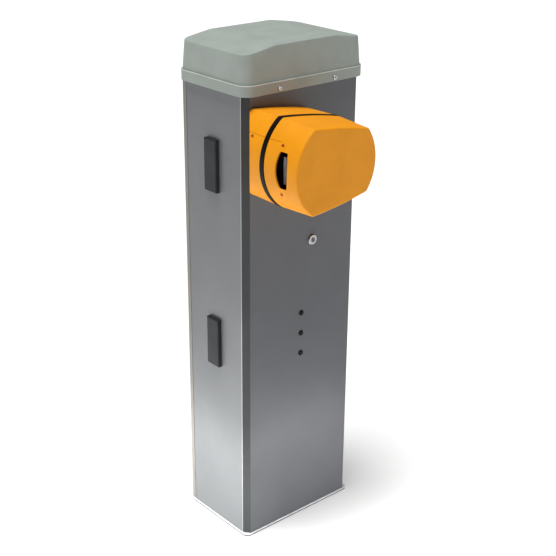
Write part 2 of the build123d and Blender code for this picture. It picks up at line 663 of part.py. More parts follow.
def gearcase_front():
    case = prism_y(case_outline(2 + CASE_WALL), CASE_FRONT, CASE_SPLIT, ARM_X, ARM_Z)
    case -= prism_y(case_outline(2), CASE_FRONT + CASE_WALL, CASE_SPLIT + 1, ARM_X, ARM_Z)
    case += rod_y(ARM_X, ARM_Z, BOSS_RADIUS, FRONT - BOSS_LENGTH, CASE_FRONT + 1)
    case -= rod_y(ARM_X, ARM_Z, SHAFT_RADIUS + BUSH_WALL, FRONT - BOSS_LENGTH - 1, CASE_SPLIT)
    return case - rod_y(ARM_X, PINION_Z, PINION_SHAFT_RADIUS + RUNNING, CASE_FRONT + 2, CASE_SPLIT)


def gearcase_rear():
    case = prism_y(case_outline(2 + CASE_WALL), CASE_SPLIT, CASE_REAR, ARM_X, ARM_Z)
    case -= prism_y(case_outline(2), CASE_SPLIT - 1, CASE_REAR - CASE_WALL, ARM_X, ARM_Z)
    case -= rod_y(ARM_X, ARM_Z, SHAFT_TAIL_RADIUS + RUNNING, CASE_SPLIT, CASE_REAR + 1)
    return case - rod_y(ARM_X, PINION_Z, PINION_SHAFT_RADIUS + RUNNING, CASE_SPLIT, CASE_REAR + 1)


def shaft_bush():
    """Plain bush in the boss, next to the arm."""
    low = FRONT - BOSS_LENGTH
    high = low + BUSH_LENGTH
    sleeve = rod_y(ARM_X, ARM_Z, SHAFT_RADIUS + BUSH_WALL, low, high)
    return sleeve - rod_y(ARM_X, ARM_Z, SHAFT_RADIUS + RUNNING, low - 1, high + 1)


def pinion():
    """Pinion cut on its own shaft."""
    gap_turn = -90 + 180 / PINION_TEETH
    middle = CASE_SPLIT
    section = gear_section(PINION_TEETH, gap_turn)
    gear = prism_y(section, middle - GEAR_WIDTH / 2, middle + GEAR_WIDTH / 2, ARM_X, PINION_Z)
    return gear + rod_y(ARM_X, PINION_Z, PINION_SHAFT_RADIUS, CASE_FRONT + 3, CASE_REAR + 10)


def motor():
    case = rod_y(ARM_X, PINION_Z, MOTOR_RADIUS, CASE_REAR, CASE_REAR + MOTOR_LENGTH)
    case = fillet(case.faces().sort_by(Axis.Y)[-1].edges(), 4)
    case += rod_y(ARM_X, PINION_Z, MOTOR_RADIUS - 8, CASE_REAR + MOTOR_LENGTH, CASE_REAR + MOTOR_LENGTH + 6)
    return case - rod_y(ARM_X, PINION_Z, PINION_SHAFT_RADIUS + MOVE, CASE_REAR - 1, CASE_REAR + 11)


# ---------------------------------------------------------------- balance spring linkage
def tapered_plate(big, small, length):
    """Outline of two discs joined by their tangents, the small one to the right of the big one."""
    sine = (big - small) / length
    cosine = math.sqrt(1 - sine * sine)
    web = make_face(Polyline(
        (big * sine, big * cosine), (length + small * sine, small * cosine),
        (length + small * sine, -small * cosine), (big * sine, -big * cosine), close=True,
    ))
    return Circle(big) + Pos(length, 0) * Circle(small) + web


def crank_lever():
    section = tapered_plate(LEVER_HUB_RADIUS, LEVER_EYE_RADIUS, LEVER_LENGTH)
    lever = prism_y(section, LEVER_FRONT, LEVER_REAR, ARM_X, ARM_Z)
    lever -= rod_y(ARM_X, ARM_Z, SHAFT_TAIL_RADIUS, LEVER_FRONT - 1, LEVER_REAR + 1)
    return lever - rod_y(SPRING_X, ARM_Z, LINK_PIN_RADIUS, LEVER_FRONT - 1, LEVER_REAR + 1)


def lever_pin():
    end = LINK_Y + LINK_THICKNESS / 2 + 4
    pin = rod_y(SPRING_X, ARM_Z, LINK_PIN_RADIUS, LEVER_FRONT, end)
    return pin + rod_y(SPRING_X, ARM_Z, LINK_PIN_RADIUS + 2, end, end + 3)


def limit_cam():
    """Disc with one raised lobe that the end switches sense."""
    low = LEVER_REAR + 1
    high = LEVER_REAR + 6
    disc = rod_y(ARM_X, ARM_Z, 16, low, high)
    lobe = block((ARM_X - 22, ARM_X - 10), (low, high), (ARM_Z - 5, ARM_Z + 5))
    return disc + lobe - rod_y(ARM_X, ARM_Z, SHAFT_TAIL_RADIUS, low - 1, high + 1)


def limit_switch(sign):
    """Inductive end switch on a stem from the gearcase."""
    z = ARM_Z + sign * 10
    stem = block((ARM_X - 50, ARM_X - 34), (CASE_REAR, LEVER_REAR + 8), (z - 8, z + 8))
    return stem + rod_x(LEVER_REAR + 3.5, z, 5, ARM_X - 34, ARM_X - 26)


def stop_bumper(closed):
    """Rubber stop on the gearcase, beside the lever at one end of its travel."""
    sine = (LEVER_HUB_RADIUS - LEVER_EYE_RADIUS) / LEVER_LENGTH
    cosine = math.sqrt(1 - sine * sine)
    along = LEVER_LENGTH - 4
    away = (LEVER_HUB_RADIUS + STOP_RADIUS + MOVE - along * sine) / cosine
    if closed:
        return rod_y(ARM_X + along, ARM_Z + away, STOP_RADIUS, CASE_REAR, LEVER_REAR)
    return rod_y(ARM_X - away, ARM_Z - along, STOP_RADIUS, CASE_REAR, LEVER_REAR)


def link_eye():
    """Long eye on the lever pin, with a rod down to the plug that the top coils are wound on."""
    eye_z = ARM_Z + LINK_PIN_RADIUS + 0.3 - LINK_EYE_RADIUS
    outer = LINK_EYE_RADIUS + LINK_EYE_WALL
    low = LINK_Y - LINK_THICKNESS / 2
    high = LINK_Y + LINK_THICKNESS / 2
    eye = rod_y(SPRING_X, eye_z, outer, low, high)
    top = SPRING_BOTTOM + SPRING_LENGTH
    eye += rod_z(SPRING_X, LINK_Y, ROD_RADIUS, top, eye_z - LINK_EYE_RADIUS - 1)
    eye += rod_z(SPRING_X, LINK_Y, SPRING_RADIUS - SPRING_WIRE - SEAT, top - 20, top)
    return eye - rod_y(SPRING_X, eye_z, LINK_EYE_RADIUS, low - 2, high + 2)


def lower_spring_plug():
    """Plug that the lowest coils are wound on, with the adjusting hexagon under the spring."""
    radius = SPRING_RADIUS - SPRING_WIRE - SEAT
    plug = rod_z(SPRING_X, LINK_Y, radius, SPRING_BOTTOM - 2, SPRING_BOTTOM + 20)
    plug += Pos(SPRING_X, LINK_Y, SPRING_BOTTOM - 10) * extrude(RegularPolygon(9, 6), 8)
    return plug - rod_z(SPRING_X, LINK_Y, ROD_RADIUS, SPRING_BOTTOM - 11, SPRING_BOTTOM + 2)


def balance_spring():
    """Envelope of the coil spring's turns."""
    top = SPRING_BOTTOM + SPRING_LENGTH
    tube = rod_z(SPRING_X, LINK_Y, SPRING_RADIUS, SPRING_BOTTOM, top)
    return tube - rod_z(SPRING_X, LINK_Y, SPRING_RADIUS - SPRING_WIRE, SPRING_BOTTOM - 1, top + 1)


def tie_rod():
    low = LINK_Y - LINK_THICKNESS / 2
    high = LINK_Y + LINK_THICKNESS / 2
    eye = rod_y(SPRING_X, ANCHOR_PIN_Z, LINK_PIN_RADIUS + 5, low, high)
    eye += rod_z(SPRING_X, LINK_Y, ROD_RADIUS, ANCHOR_PIN_Z + 6, SPRING_BOTTOM + 2)
    return eye - rod_y(SPRING_X, ANCHOR_PIN_Z, LINK_PIN_RADIUS + RUNNING, low - 1, high + 1)


def anchor_bracket():
    """Foot on the front panel with an arm and a headed stud that holds the tie rod's eye."""
    z_low = ANCHOR_PIN_Z - 30
    z_high = ANCHOR_PIN_Z + 30
    foot = block((SPRING_X - 26, SPRING_X + 26), (CASE_FRONT, CASE_FRONT + 4), (z_low, z_high))
    front = LINK_Y - LINK_THICKNESS / 2 - 1
    rear = LINK_Y + LINK_THICKNESS / 2 + 1
    arm_z = (ANCHOR_PIN_Z - 9, ANCHOR_PIN_Z + 9)
    arm = block((SPRING_X - 10, SPRING_X + 10), (CASE_FRONT + 4, front), arm_z)
    stud = rod_y(SPRING_X, ANCHOR_PIN_Z, LINK_PIN_RADIUS, front, rear)
    return foot + arm + stud + rod_y(SPRING_X, ANCHOR_PIN_Z, LINK_PIN_RADIUS + 2, rear, rear + 3)


# ---------------------------------------------------------------- locks, door and electrics
def lock_barrel(x, z, face, towards):
    """Barrel with a ring outside the sheet; towards is -1 for the front and 1 for the rear door."""
    ring_end = face + towards * 3
    inner_end = face - towards * LOCK_DEPTH
    ring = rod_y(x, z, LOCK_RING_RADIUS, *sorted((face, ring_end)))
    ring = chamfer(ring.faces().sort_by(Axis.Y)[0 if towards < 0 else -1].edges(), 1)
    barrel = ring + rod_y(x, z, LOCK_BARREL_RADIUS, *sorted((face, inner_end)))
    bore = sorted((ring_end + towards, inner_end - towards))
    return barrel - rod_y(x, z, LOCK_PLUG_RADIUS + RUNNING, *bore)


def lock_plug(x, z, face, towards):
    """Turning plug with a keyway across its outer end."""
    outer = face + towards * 2.4
    inner = face - towards * (LOCK_DEPTH + 8)
    plug = rod_y(x, z, LOCK_PLUG_RADIUS, *sorted((outer, inner)))
    key = sorted((outer + towards, outer - towards * 12))
    return plug - block((x - 0.8, x + 0.8), key, (z - 3.4, z + 3.4))


def lock_cam(x, z, face, towards, sideways, length):
    """Tongue on the inner end of the plug, pointing to -X when sideways and to +Z otherwise."""
    near = face - towards * (LOCK_DEPTH + 0.8)
    far = near - towards * CAM_THICKNESS
    y_range = sorted((near, far))
    half = CAM_WIDTH / 2
    tongue = rod_y(x, z, LOCK_PLUG_RADIUS + 4, *y_range)
    if sideways:
        tongue += block((x - length, x), y_range, (z - half, z + half))
    else:
        tongue += block((x - half, x + half), y_range, (z, z + length))
    return tongue - rod_y(x, z, LOCK_PLUG_RADIUS, y_range[0] - 1, y_range[1] + 1)


def rear_door():
    """Tray-shaped door whose returns form the last strip of both sides."""
    bottom = BASE_THICKNESS + 2
    top = BODY_HEIGHT - 2
    y_range = (DOOR_SEAM + DOOR_GAP, REAR)
    door = block((-SIDE, SIDE), y_range, (bottom, top))
    door = fillet(door.edges().filter_by(Axis.Z).sort_by(Axis.Y)[-2:], DOOR_BEND_RADIUS)
    door -= block((SHEET - SIDE, SIDE - SHEET), (DOOR_SEAM, REAR - SHEET), (bottom + SHEET, top - SHEET))
    return door - rod_y(DOOR_LOCK_X, DOOR_LOCK_Z, LOCK_BARREL_RADIUS, REAR - SHEET - 1, REAR + 1)


def frame_hinge(bottom):
    """Leaf on the side panel with the lower knuckle and the pin."""
    middle = bottom + HINGE_HEIGHT / 2
    leaf = block((SIDE, SIDE + SHEET), (HINGE_Y - 26, HINGE_Y - MOVE), (bottom, middle - MOVE))
    knuckle = rod_z(HINGE_X, HINGE_Y, HINGE_RADIUS, bottom, middle - MOVE)
    return leaf + knuckle + rod_z(HINGE_X, HINGE_Y, HINGE_PIN_RADIUS, bottom, bottom + HINGE_HEIGHT - 1)


def door_hinge(bottom):
    """Leaf on the door's return with the upper knuckle."""
    middle = bottom + HINGE_HEIGHT / 2
    top = bottom + HINGE_HEIGHT
    leaf = block((SIDE, SIDE + SHEET), (HINGE_Y + MOVE, REAR), (middle, top))
    knuckle = rod_z(HINGE_X, HINGE_Y, HINGE_RADIUS, middle, top)
    return leaf + knuckle - rod_z(HINGE_X, HINGE_Y, HINGE_PIN_RADIUS + RUNNING, middle - 1, top - MOVE)


def mounting_plate():
    """Plate on four studs from the right side, which carries the electrics."""
    wall = SIDE - SHEET
    back = wall - PLATE_STANDOFF
    y_range = (FRONT + PLATE_MARGIN, DOOR_SEAM - PLATE_MARGIN / 2)
    plate = block((PLATE_FACE, back), y_range, (PLATE_BOTTOM, PLATE_BOTTOM + PLATE_HEIGHT))
    for y in (y_range[0] + 12, y_range[1] - 12):
        for z in (PLATE_BOTTOM + 20, PLATE_BOTTOM + PLATE_HEIGHT - 20):
            plate += rod_x(y, z, 5, back, wall)
    return plate


def control_box():
    """Open box on the mounting plate, with its mouth towards the rear door."""
    x_range = (PLATE_FACE - BOX_WIDTH, PLATE_FACE)
    y_range = (BOX_MOUTH - BOX_DEPTH, BOX_MOUTH)
    z_range = (BOX_BOTTOM, BOX_BOTTOM + BOX_HEIGHT)
    inside_x, inside_z = [(low + BOX_WALL, high - BOX_WALL) for low, high in (x_range, z_range)]
    box = block(x_range, y_range, z_range)
    return box - block(inside_x, (y_range[0] + BOX_WALL, BOX_MOUTH + 1), inside_z)


def control_lid():
    x_range = (PLATE_FACE - BOX_WIDTH - 1, PLATE_FACE)
    lid = block(x_range, (BOX_MOUTH, BOX_MOUTH + 4), (BOX_BOTTOM - 1, BOX_BOTTOM + BOX_HEIGHT + 1))
    return chamfer(lid.faces().sort_by(Axis.Y)[-1].edges(), 1)


parts["base_plate"] = base_plate()
parts["front_panel"] = front_panel()
for side, sign in (("left", -1), ("right", 1)):
    parts[f"{side}_side_panel"] = side_panel(sign)
    parts[f"{side}_corner_profile"] = corner_profile(sign)
    parts[f"{side}_cap_screw"] = cap_screw(sign)
parts["top_frame"] = top_frame()
parts["cap"] = cap()
parts["upper_sensor_cover"] = sensor_cover(UPPER_SENSOR_Z)
parts["lower_sensor_cover"] = sensor_cover(LOWER_SENSOR_Z)
for number in range(3):
    parts[f"hole_plug_{number + 1}"] = hole_plug(number)

parts["upper_collar_shell"] = collar_shell(True)
parts["lower_collar_shell"] = collar_shell(False)
parts["collar_screw"] = cover_screw(COLLAR_SCREW)
parts["band_ring"] = band_ring()
parts["head_cover"] = head_cover()
parts["upper_head_screw"] = cover_screw(HEAD_SCREWS[0])
parts["lower_head_screw"] = cover_screw(HEAD_SCREWS[1])
parts["hub_flange"] = hub_flange()
parts["boom_holder"] = boom_holder()
parts["clamp_plate"] = clamp_plate()
parts["upper_clamp_bolt"] = clamp_bolt(CLAMP_BOLTS[0])
parts["lower_clamp_bolt"] = clamp_bolt(CLAMP_BOLTS[1])

parts["output_shaft"] = output_shaft()
parts["output_gear"] = output_gear()
parts["gearcase_front"] = gearcase_front()
parts["gearcase_rear"] = gearcase_rear()
parts["shaft_bush"] = shaft_bush()
parts["pinion"] = pinion()
parts["motor"] = motor()

parts["crank_lever"] = crank_lever()
parts["lever_pin"] = lever_pin()
parts["limit_cam"] = limit_cam()
parts["open_limit_switch"] = limit_switch(1)
parts["closed_limit_switch"] = limit_switch(-1)
parts["closed_stop_bumper"] = stop_bumper(True)
parts["open_stop_bumper"] = stop_bumper(False)
parts["link_eye"] = link_eye()
parts["balance_spring"] = balance_spring()
parts["lower_spring_plug"] = lower_spring_plug()
parts["tie_rod"] = tie_rod()
parts["anchor_bracket"] = anchor_bracket()

parts["release_lock_barrel"] = lock_barrel(LOCK_X, LOCK_Z, FRONT, -1)
parts["release_lock_plug"] = lock_plug(LOCK_X, LOCK_Z, FRONT, -1)
parts["release_cam"] = lock_cam(LOCK_X, LOCK_Z, FRONT, -1, True, RELEASE_CAM_LENGTH)
parts["rear_door"] = rear_door()
parts["door_lock_barrel"] = lock_barrel(DOOR_LOCK_X, DOOR_LOCK_Z, REAR, 1)
parts["door_lock_plug"] = lock_plug(DOOR_LOCK_X, DOOR_LOCK_Z, REAR, 1)
parts["door_lock_cam"] = lock_cam(DOOR_LOCK_X, DOOR_LOCK_Z, REAR, 1, False, DOOR_CAM_LENGTH)
for height, bottom in (("lower", LOWER_HINGE_Z), ("upper", UPPER_HINGE_Z)):
    parts[f"{height}_frame_hinge"] = frame_hinge(bottom)
    parts[f"{height}_door_hinge"] = door_hinge(bottom)
parts["mounting_plate"] = mounting_plate()
parts["control_box"] = control_box()
parts["control_lid"] = control_lid()

os.makedirs("parts", exist_ok=True)
for name, shape in parts.items():
    export_step(shape, f"parts/{name}.step")
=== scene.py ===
import math

import bpy
import numpy as np
from mathutils import Matrix, Vector


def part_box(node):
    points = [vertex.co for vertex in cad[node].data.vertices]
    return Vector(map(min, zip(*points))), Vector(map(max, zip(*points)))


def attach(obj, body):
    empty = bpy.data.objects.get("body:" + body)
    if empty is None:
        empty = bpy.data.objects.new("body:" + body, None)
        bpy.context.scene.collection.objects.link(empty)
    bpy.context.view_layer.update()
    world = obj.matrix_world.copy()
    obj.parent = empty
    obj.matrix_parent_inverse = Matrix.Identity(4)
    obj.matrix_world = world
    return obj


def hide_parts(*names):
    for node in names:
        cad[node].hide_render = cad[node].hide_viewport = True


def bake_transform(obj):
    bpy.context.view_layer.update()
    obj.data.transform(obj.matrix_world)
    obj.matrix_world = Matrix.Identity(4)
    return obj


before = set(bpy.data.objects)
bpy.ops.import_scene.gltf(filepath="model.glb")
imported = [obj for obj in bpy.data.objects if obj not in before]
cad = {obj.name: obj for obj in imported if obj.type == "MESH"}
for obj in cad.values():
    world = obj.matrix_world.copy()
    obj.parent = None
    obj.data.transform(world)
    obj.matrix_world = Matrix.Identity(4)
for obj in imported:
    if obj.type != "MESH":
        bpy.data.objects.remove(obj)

for leftover in ("Cube", "Light", "Camera"):
    if leftover in bpy.data.objects:
        bpy.data.objects.remove(bpy.data.objects[leftover])
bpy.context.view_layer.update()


# ---------------------------------------------------------------- front sheet and side sheets
# Folded 2 mm sheet steel: a front panel and two sides with a flange at the back, screwed to the top frame and
# the base plate. They share one fine-textured metallic grey coat; the front's copy is darker as painted
# shade.
def new_material(name):
    """Empty material with a Principled shader; returns the material, its node tree and the shader."""
    material = bpy.data.materials.new(name)
    material.use_nodes = True
    tree = material.node_tree
    shader = tree.nodes["Principled BSDF"]
    return material, tree, shader


def object_noise(tree, scale, detail=2.0, roughness=0.5, stretch=(1.0, 1.0, 1.0)):
    """Noise that is fixed to the piece, drawn out by a factor along each axis; returns its Fac socket."""
    place = tree.nodes.new("ShaderNodeTexCoord")
    mapping = tree.nodes.new("ShaderNodeMapping")
    mapping.inputs["Scale"].default_value = stretch
    noise = tree.nodes.new("ShaderNodeTexNoise")
    noise.inputs["Scale"].default_value = scale
    noise.inputs["Detail"].default_value = detail
    noise.inputs["Roughness"].default_value = roughness
    tree.links.new(place.outputs["Object"], mapping.inputs["Vector"])
    tree.links.new(mapping.outputs["Vector"], noise.inputs["Vector"])
    return noise.outputs["Fac"]


def ramp(tree, factor, low, high, start=0.35, end=0.65):
    """Colour that runs from low to high while the factor goes from start to end."""
    node = tree.nodes.new("ShaderNodeValToRGB")
    node.color_ramp.elements[0].position = start
    node.color_ramp.elements[1].position = end
    node.color_ramp.elements[0].color = (*low, 1)
    node.color_ramp.elements[1].color = (*high, 1)
    tree.links.new(factor, node.inputs["Fac"])
    return node.outputs["Color"]


def add_bump(tree, shader, height, strength, distance):
    """Bump from one height socket onto the shader's normal; a second call adds to the first."""
    bump = tree.nodes.new("ShaderNodeBump")
    bump.inputs["Strength"].default_value = strength
    bump.inputs["Distance"].default_value = distance
    tree.links.new(height, bump.inputs["Height"])
    before = shader.inputs["Normal"].links
    if before:
        tree.links.new(before[0].from_socket, bump.inputs["Normal"])
    tree.links.new(bump.outputs["Normal"], shader.inputs["Normal"])


def finish_range(tree, shader, socket, factor, low, high):
    """Lets one shader value run from low to high with a factor."""
    node = tree.nodes.new("ShaderNodeMapRange")
    node.inputs["To Min"].default_value = low
    node.inputs["To Max"].default_value = high
    tree.links.new(factor, node.inputs["Value"])
    tree.links.new(node.outputs["Result"], shader.inputs[socket])


def powder_coat(name, low, high, roughness=0.42, metallic=0.0, specular=0.5):
    """Powder coat: a fine orange-peel skin, a slow drift of tone and slightly uneven gloss."""
    material, tree, shader = new_material(name)
    shader.inputs["Metallic"].default_value = metallic
    shader.inputs["Specular IOR Level"].default_value = specular
    tone = object_noise(tree, 9.0, 3.0, 0.55)
    tree.links.new(ramp(tree, tone, low, high, 0.3, 0.7), shader.inputs["Base Color"])
    finish_range(tree, shader, "Roughness", object_noise(tree, 60.0, 3.0), roughness - 0.06, roughness + 0.06)
    add_bump(tree, shader, object_noise(tree, 420.0, 1.0), 0.16, 0.0006)
    add_bump(tree, shader, object_noise(tree, 1600.0, 1.0), 0.12, 0.0002)
    return material


def dress(material, *nodes):
    """Gives carried-over CAD nodes one material."""
    for node in nodes:
        for slot in cad[node].material_slots:
            slot.material = material


side_coat = powder_coat("side metallic coat", (0.166, 0.174, 0.178), (0.182, 0.190, 0.194), 0.40, 0.30, 0.3)
dress(side_coat, "left_side_panel", "right_side_panel")
# The front's coat is the side coat darkened: painted shade for the front face.
front_coat_painted_shade = powder_coat("front metallic coat with painted shade", (0.106, 0.110, 0.119), (0.118, 0.122, 0.131), 0.40, 0.30, 0.3)
dress(front_coat_painted_shade, "front_panel")


# ---------------------------------------------------------------- rolled edge of the lane side
# The lane side's front edge is rolled over; a thin rod along it is coloured light as a painted highlight, so
# that it shows as a thin light line beside the corner profile. It is part of the side sheet.
def grid_faces(count, rows, columns, loop):
    """Quads of a number of grids whose columns close on themselves: (i, j), (i, j+1), (i+1, j+1), (i+1, j).

    In a loop the rows close on themselves too; otherwise the first and the last row get one face each.
    """
    index = np.arange(count * rows * columns).reshape(count, rows, columns)
    after = np.roll(index, -1, axis=2)
    quads = np.stack([index, after, np.roll(after, -1, axis=1), np.roll(index, -1, axis=1)], axis=-1)
    if loop:
        return quads.reshape(-1, 4).tolist()
    ends = np.concatenate([index[:, 0, ::-1], index[:, -1]])
    return quads[:, :-1].reshape(-1, 4).tolist() + ends.tolist()


def surface(name, grids, material, loop=False):
    """Closed mesh from one grid or several equal ones, rows along the piece and columns round its section."""
    grids = np.reshape(grids, (-1,) + np.shape(grids)[-3:])
    mesh = bpy.data.meshes.new(name)
    mesh.from_pydata(grids.reshape(-1, 3).tolist(), [], grid_faces(*grids.shape[:3], loop))
    mesh.materials.append(material)
    piece = bpy.data.objects.new(name, mesh)
    bpy.context.collection.objects.link(piece)
    return piece


def smooth(piece, degrees=35):
    """Shades a piece smooth, apart from edges that turn by more than an angle."""
    piece.data.shade_smooth()
    piece.data.set_sharp_from_angle(angle=math.radians(degrees))
    return piece


def upright(section_x, section_y, heights):
    """Grid of an upright piece: the same section (x, y) at each height z."""
    grid = np.empty((len(heights), len(section_x), 3))
    grid[..., 0] = section_x
    grid[..., 1] = section_y
    grid[..., 2] = np.array(heights)[:, None]
    return grid


side_low, side_high = np.array(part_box("left_side_panel"))


def bright_edge(name, material, radius=0.0009, top=0.917):
    """Thin rod along Z at the side's front corner: x = corner + r cos t, y = edge + r sin t."""
    turn = np.linspace(0, 2 * math.pi, 12, endpoint=False)
    section_x = side_low[0] + 0.0004 + radius * np.cos(turn)
    section_y = side_low[1] + 0.0006 + radius * np.sin(turn)
    grid = upright(section_x, section_y, (side_low[2], (side_low[2] + top) / 2, top))
    edge = smooth(surface(name, grid, material), 60)
    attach(edge, "cabinet")


# Light coat of the rod: painted highlight.
edge_painted_highlight = powder_coat("rolled edge painted highlight", (0.36, 0.37, 0.38), (0.44, 0.45, 0.46), 0.30, 0.5)
bright_edge("left_side_rolled_edge", edge_painted_highlight)

# ---------------------------------------------------------------- rear door
# A tray-shaped door of the same sheet steel, hung on two hinges at the back. Its coat is a little warmer than
# the body's.
door_coat = powder_coat("door metallic coat", (0.215, 0.200, 0.180), (0.240, 0.224, 0.202), 0.42, 0.25)
dress(door_coat, "rear_door")


# ---------------------------------------------------------------- door seals
# Two half-round strips of black sponge rubber, glued along the rear flanges of the side sheets, between them
# and the closed door.
def seal_strip(name, middle_x, material, half_width=0.0045, rise=0.0068):
    """Strip along Z whose section is half an ellipse: x = middle + a cos t, y = face + b sin t, t to pi."""
    turn = np.linspace(0, math.pi, 15)
    section_x = middle_x + half_width * np.cos(turn)
    section_y = side_high[1] + rise * np.sin(turn)
    strip = smooth(surface(name, upright(section_x, section_y, (0.012, 0.40, 0.912)), material), 60)
    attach(strip, "cabinet")


seal_foam, seal_tree, seal_shader = new_material("seal foam")
seal_tone = object_noise(seal_tree, 900.0, 4.0, 0.7)
seal_colour = ramp(seal_tree, seal_tone, (0.010, 0.010, 0.010), (0.030, 0.030, 0.031))
seal_tree.links.new(seal_colour, seal_shader.inputs["Base Color"])
finish_range(seal_tree, seal_shader, "Roughness", object_noise(seal_tree, 300.0), 0.78, 0.95)
add_bump(seal_tree, seal_shader, object_noise(seal_tree, 2200.0, 3.0), 0.5, 0.0004)
seal_strip("left_door_seal", -0.130, seal_foam)
seal_strip("right_door_seal", 0.130, seal_foam)

# ---------------------------------------------------------------- base plate
# A galvanised steel plate under the sheets. Its top is coloured near-white, partly as a painted highlight, so
# that its edge shows as a thin bright line; its side below 2.5 mm is dark as painted shade. It has four
# anchor holes and a cable entry.
plate_coat, plate_tree, plate_shader = new_material("base plate with painted highlight and shade")
plate_tone = object_noise(plate_tree, 60.0, 4.0, 0.6)
# Near-white zinc tone, partly a painted highlight.
zinc_with_painted_highlight = ramp(plate_tree, plate_tone, (0.66, 0.67, 0.68), (0.80, 0.81, 0.82))
plate_place = plate_tree.nodes.new("ShaderNodeTexCoord")
plate_axes = plate_tree.nodes.new("ShaderNodeSeparateXYZ")
plate_tree.links.new(plate_place.outputs["Object"], plate_axes.inputs["Vector"])
# Below 2.5 mm the plate's side is coloured dark: painted shade.
above_painted_shade = plate_tree.nodes.new("ShaderNodeMapRange")
painted_shade_height = 0.0025
painted_shade_blur = 0.0003
above_painted_shade.inputs["From Min"].default_value = painted_shade_height - painted_shade_blur
above_painted_shade.inputs["From Max"].default_value = painted_shade_height + painted_shade_blur
plate_tree.links.new(plate_axes.outputs["Z"], above_painted_shade.inputs["Value"])
painted_shade_mix = plate_tree.nodes.new("ShaderNodeMix")
painted_shade_mix.data_type = "RGBA"
painted_shade_mix.inputs["A"].default_value = (0.045, 0.045, 0.048, 1)
plate_tree.links.new(above_painted_shade.outputs["Result"], painted_shade_mix.inputs["Factor"])
plate_tree.links.new(zinc_with_painted_highlight, painted_shade_mix.inputs["B"])
plate_tree.links.new(painted_shade_mix.outputs["Result"], plate_shader.inputs["Base Color"])
finish_range(plate_tree, plate_shader, "Roughness", object_noise(plate_tree, 240.0, 3.0), 0.35, 0.55)
add_bump(plate_tree, plate_shader, object_noise(plate_tree, 900.0, 2.0), 0.08, 0.0002)
dress(plate_coat, "base_plate")

# ---------------------------------------------------------------- corner profiles
# Two bevelled aluminium bars, powder coated charcoal, that close the front corners over the whole height,
# between the front sheet and the side sheets.
charcoal = powder_coat("charcoal powder coat", (0.035, 0.039, 0.038), (0.044, 0.049, 0.050), 0.45, 0.0, 0.25)
dress(charcoal, "left_corner_profile", "right_corner_profile")


# ---------------------------------------------------------------- top frame, brackets and fasteners
# Folded and turned steel parts, bolted together inside the cabinet and on the arm. Their bright zinc plating
# is slightly cloudy from the bath.
def zinc_plate(name, low, high, roughness=0.34):
    """Zinc plating: a metal with cloudy tone and small spangles in its gloss."""
    material, tree, shader = new_material(name)
    tone = object_noise(tree, 70.0, 4.0, 0.6)
    tree.links.new(ramp(tree, tone, low, high), shader.inputs["Base Color"])
    shader.inputs["Metallic"].default_value = 1.0
    finish_range(tree, shader, "Roughness", object_noise(tree, 240.0, 3.0), roughness - 0.1, roughness + 0.1)
    add_bump(tree, shader, object_noise(tree, 900.0, 2.0), 0.08, 0.0002)
    return material


zinc = zinc_plate("zinc plated steel", (0.50, 0.51, 0.52), (0.66, 0.67, 0.69))
dress(zinc, "top_frame", "mounting_plate", "anchor_bracket", "tie_rod", "lower_spring_plug", "link_eye")
dress(zinc, "lever_pin", "clamp_plate", "upper_clamp_bolt", "lower_clamp_bolt")
dress(zinc, "release_cam", "door_lock_cam")

# ---------------------------------------------------------------- boom holder
# A welded steel channel on the hub flange, painted pale grey. The edge of its tongue shows inside the boom
# slot of the head cover.
holder_paint = powder_coat("pale grey paint", (0.55, 0.56, 0.58), (0.66, 0.67, 0.69), 0.35)
dress(holder_paint, "boom_holder")

# ---------------------------------------------------------------- hinges
# Two lift-off hinges with welded leaves, one half of each on the cabinet's right and one on the door. They
# are coated together with the body.
dress(side_coat, "lower_frame_hinge", "upper_frame_hinge", "lower_door_hinge", "upper_door_hinge")


# ---------------------------------------------------------------- gearcase, hub flange, crank lever and bush
# Sand-cast aluminium halves bolted to the inside of the front panel; the boss passes through it. The hub
# flange on the shaft's end and the crank lever are cast too, and the bush is sintered bronze.
def cast_metal(name, low, high, grain):
    """Sand casting: a rough metal with a grainy skin."""
    material, tree, shader = new_material(name)
    tone = object_noise(tree, 40.0, 5.0, 0.65)
    tree.links.new(ramp(tree, tone, low, high), shader.inputs["Base Color"])
    shader.inputs["Metallic"].default_value = 0.9
    finish_range(tree, shader, "Roughness", object_noise(tree, 200.0, 3.0), 0.48, 0.68)
    add_bump(tree, shader, object_noise(tree, grain, 3.0, 0.7), 0.45, 0.0006)
    return material


casting = cast_metal("cast aluminium", (0.40, 0.40, 0.41), (0.52, 0.52, 0.53), 520.0)
dress(casting, "gearcase_front", "gearcase_rear")
# The hub flange's near-black coat is painted shade that keeps the inside of the boom slot dark.
casting_painted_shade = cast_metal("casting darkened as painted shade", (0.006, 0.006, 0.006), (0.012, 0.012, 0.012), 520.0)
dress(casting_painted_shade, "hub_flange")
crank_casting = cast_metal("oiled cast steel", (0.08, 0.08, 0.085), (0.13, 0.13, 0.135), 700.0)
dress(crank_casting, "crank_lever")
dress(zinc_plate("sintered bronze", (0.42, 0.25, 0.10), (0.55, 0.34, 0.15), 0.4), "shaft_bush")


# ---------------------------------------------------------------- gearcase screws
# Five zinc-plated socket screws round the shaft that hold the rear half of the gearcase to the front half.
# Each is turned, with a chamfered head and a recess.
def turned_solid(profile, centre_x, centre_z, ripple=None, steps=48):
    """Grid of a solid of revolution about a line along Y: x = cx + r cos t, y = profile y, z = cz + r sin t.

    The profile is rows of (y, radius); a ripple is a function that adds to the radius at each row and turn.
    """
    profile = np.asarray(profile, float)
    turn = np.linspace(0, 2 * math.pi, steps, endpoint=False)
    radius = np.repeat(profile[:, 1:2], steps, axis=1)
    if ripple is not None:
        radius = radius + ripple(profile, turn)
    grid = np.empty(radius.shape + (3,))
    grid[..., 0] = centre_x + radius * np.cos(turn)
    grid[..., 1] = profile[:, :1]
    grid[..., 2] = centre_z + radius * np.sin(turn)
    return grid[:, ::-1]


